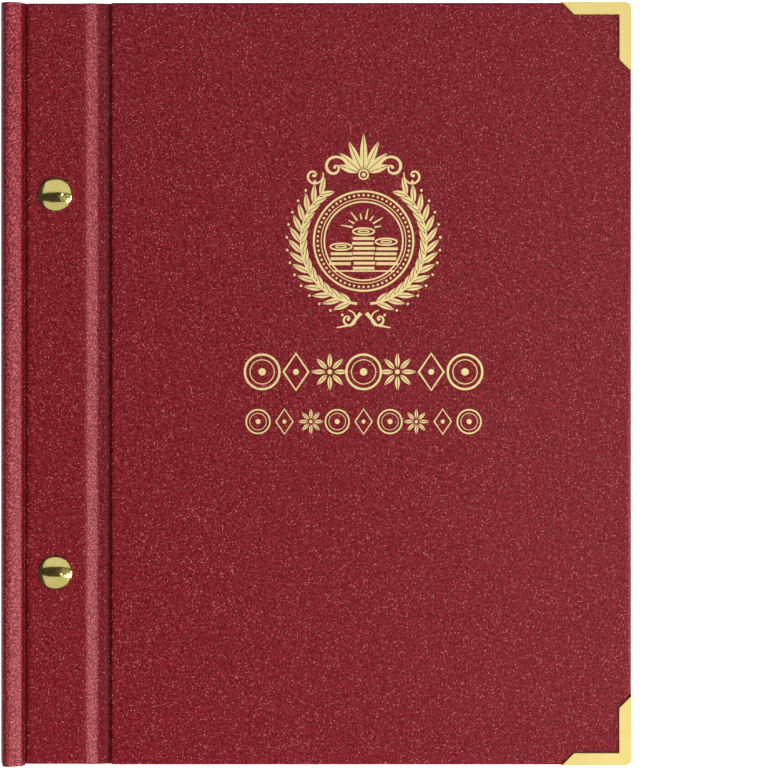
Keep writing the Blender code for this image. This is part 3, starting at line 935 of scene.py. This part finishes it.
def branch(work, side):
    """Half of the laurel wreath: a stem with pairs of leaves and a berry outside each."""
    stroke(work, [on_wreath(side, a, WREATH_R) for a in range(-84, 53, 4)], lambda t: 0.9 - 0.5 * t)
    for step in range(14):
        a = -78 + step * 9.6
        x, y = on_wreath(side, a, WREATH_R)
        for lean, length in ((-34, 6.6), (30, 5.2)):
            angle = a + 90 + lean
            blade(work, x, y, angle if side == 1 else 180 - angle, length, 1.75)
        dot(work, *on_wreath(side, a + 4, BERRY_R), 0.45)


def scrolls(work, side):
    """The curls on one side of the palmette, and the one under the wreath with its tail."""
    curl(work, side * 10.2, 22.6, 200 if side == 1 else -20, 1.35, 4.3, 1.0, -side)
    curl(work, side * 17.6, 19.6, 160 if side == 1 else 20, 1.2, 3.2, 0.8, side)
    curl(work, side * 5.4, -31.2, 90, 1.3, 2.9, 0.8, side)
    stroke(work, [(side * 1.0, -29.0), (side * 4.5, -33.2), (side * 9.5, -34.2)], lambda t: 1.3 - 0.9 * t)


def palmette(work):
    """A fan of seven leaves over a small ring."""
    for i in range(7):
        angle = 90 + (i - 3) * 24
        turn = math.radians(angle)
        length = 12.6 - abs(i - 3) * 1.7
        blade(work, 2.0 * math.cos(turn), 20.6 + 1.2 * math.sin(turn), angle, length, 2.3)
    ring(work, 0, 20.0, 1.6, 0.6, 24)
    dot(work, 0, 20.0, 0.7)


def emblem():
    """A round medallion of coin stacks in a laurel wreath, under a palmette."""
    work = bmesh.new()
    medallion(work)
    for side in (1, -1):
        branch(work, side)
        scrolls(work, side)
    palmette(work)
    stamped("cover_emblem", work, EMBLEM_Y)


def lozenge(work, x, half_width, half_height, width):
    corners = [(x - half_width, 0), (x, half_height), (x + half_width, 0), (x, -half_height)]
    stroke(work, corners, width, closed=True)


def rosette(work, x, radius, petals, breadth):
    for i in range(petals):
        angle = 360 / petals * i + 90
        reach = radius * 0.24
        foot_x = x + reach * math.cos(math.radians(angle))
        foot_y = reach * math.sin(math.radians(angle))
        blade(work, foot_x, foot_y, angle, radius - reach, breadth)
    dot(work, x, 0, radius * 0.13)


def coin_mark(work, x, radius, width):
    ring(work, x, 0, radius - width / 2, width)
    ring(work, x, 0, radius * 0.66, width * 0.4)
    dot(work, x, 0, radius * 0.2)


def ornament_row(name, y, half_length, height, count):
    """A row of rosettes, coins and lozenges in turn, the same from either end."""
    work = bmesh.new()
    pitch = (2 * half_length - height) / (count - 1)
    for i in range(count):
        x = (i - (count - 1) / 2) * pitch
        kind = min(i, count - 1 - i) % 3
        if kind == 0:
            coin_mark(work, x, height / 2, height * 0.06)
        elif kind == 1:
            lozenge(work, x, height * 0.34, height / 2, height * 0.06)
            dot(work, x, 0, height * 0.08)
        else:
            rosette(work, x, height / 2, 8, height * 0.11)
    stamped(name, work, y)


emblem()
ornament_row("cover_upper_row", UPPER_ROW_Y, 42.4, 13.0, 7)
ornament_row("cover_lower_row", LOWER_ROW_Y, 41.8, 8.9, 9)

# Materials of the CAD pieces that show as they are

NODE_MATERIALS = {
    "board": GREYBOARD,
    "lining": LINING,
    "spacer": SPACER_CARD,
    "window": CLEAR_FILM,
    "corner": CORNER_METAL,
}
for name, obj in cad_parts.items():
    if obj.hide_render:
        continue
    kind = next(key for key in NODE_MATERIALS if key in name)
    obj.data.materials.clear()
    obj.data.materials.append(NODE_MATERIALS[kind])
    if kind in ("corner", "board", "spacer"):
        join = obj.modifiers.new("join", "WELD")
        join.merge_threshold = 1e-6
        ease = obj.modifiers.new("eased_edges", "BEVEL")
        ease.width = (0.3 if kind == "corner" else 0.15) * MM
        ease.segments = 3 if kind == "corner" else 2
        ease.limit_method = "ANGLE"
        ease.angle_limit = math.radians(40)

# Camera, floor and light

CAMERA_SIDE = 24.12 * MM  # how far the view's centre is to the right of the album's
CAMERA_UP = -0.1 * MM
VIEW_HEIGHT = 271.8 * MM  # of the picture, at the front cover
LENS = 120.0
SENSOR = 36.0

camera_data = bpy.data.cameras.new("camera")
camera_data.lens = LENS
camera_data.sensor_width = SENSOR
camera = bpy.data.objects.new("camera", camera_data)
camera.location = (CAMERA_SIDE, CAMERA_UP, front_z + VIEW_HEIGHT * LENS / SENSOR)
bpy.context.scene.collection.objects.link(camera)
bpy.context.scene.camera = camera


def area_light(name, place, target, size, power):
    """A soft rectangular light that faces the target."""
    data = bpy.data.lights.new(name, "AREA")
    data.shape = "RECTANGLE"
    data.size, data.size_y = size
    data.energy = power
    light = bpy.data.objects.new(name, data)
    light.location = place
    light.rotation_euler = (Vector(target) - Vector(place)).to_track_quat("-Z", "Y").to_euler()
    bpy.context.scene.collection.objects.link(light)
    return light


area_light("right_softbox", (1.66, -0.35, 1.62), (0, 0, 0), (0.9, 3.0), 84)
area_light("tail_panel", (0.1, -1.06, 1.0), (0.1, -1.06, 0), (2.8, 1.4), 6.4)
area_light("head_panel", (0.1, 0.9, 1.0), (0.1, 0.9, 0), (2.8, 1.28), 6.5)
area_light("tail_light", (0.1, -1.25, 0.75), (0, 0, 0), (0.5, 0.4), 13).visible_glossy = False

world = bpy.data.worlds.new("studio")
world.use_nodes = True
world.node_tree.nodes["Background"].inputs["Color"].default_value = (1, 1, 1, 1)
world.node_tree.nodes["Background"].inputs["Strength"].default_value = 0.05
bpy.context.scene.world = world
bpy.context.scene.view_settings.view_transform = "Standard"


def floor():
    """A wide white floor that glows, so that it stays white round the album."""
    work = bmesh.new()
    bmesh.ops.create_grid(work, x_segments=1, y_segments=1, size=4.0)
    made, _, _ = principled("floor", (0.8, 0.8, 0.8), 0.9, Emission_Color=(1, 1, 1, 1), Emission_Strength=1.0)
    sheet = from_bmesh("floor", work, made)
    sheet.location.z = cad_low.z - 0.0002


def dark_clutter():
    """A ragged dark strip over the album, for the polished heads to reflect."""
    work = bmesh.new()
    count = 32
    path = [(1.6 * (2 * i / count - 1), 0.05 * math.sin(1.9 * i) - 0.06) for i in range(count + 1)]
    breadth = [0.46 + 0.14 * math.sin(2.7 * i) + 0.1 * math.sin(1.3 * i) for i in range(count + 1)]
    stroke(work, path, lambda t: breadth[round(t * count)])
    made, _, _ = principled("dark_clutter", (0.012, 0.011, 0.008), 1.0)
    strip = from_bmesh("dark_clutter", work, made)
    strip.location.z = 0.98
    strip.visible_diffuse = False
    strip.visible_shadow = False
    strip.visible_camera = False


floor()
dark_clutter()
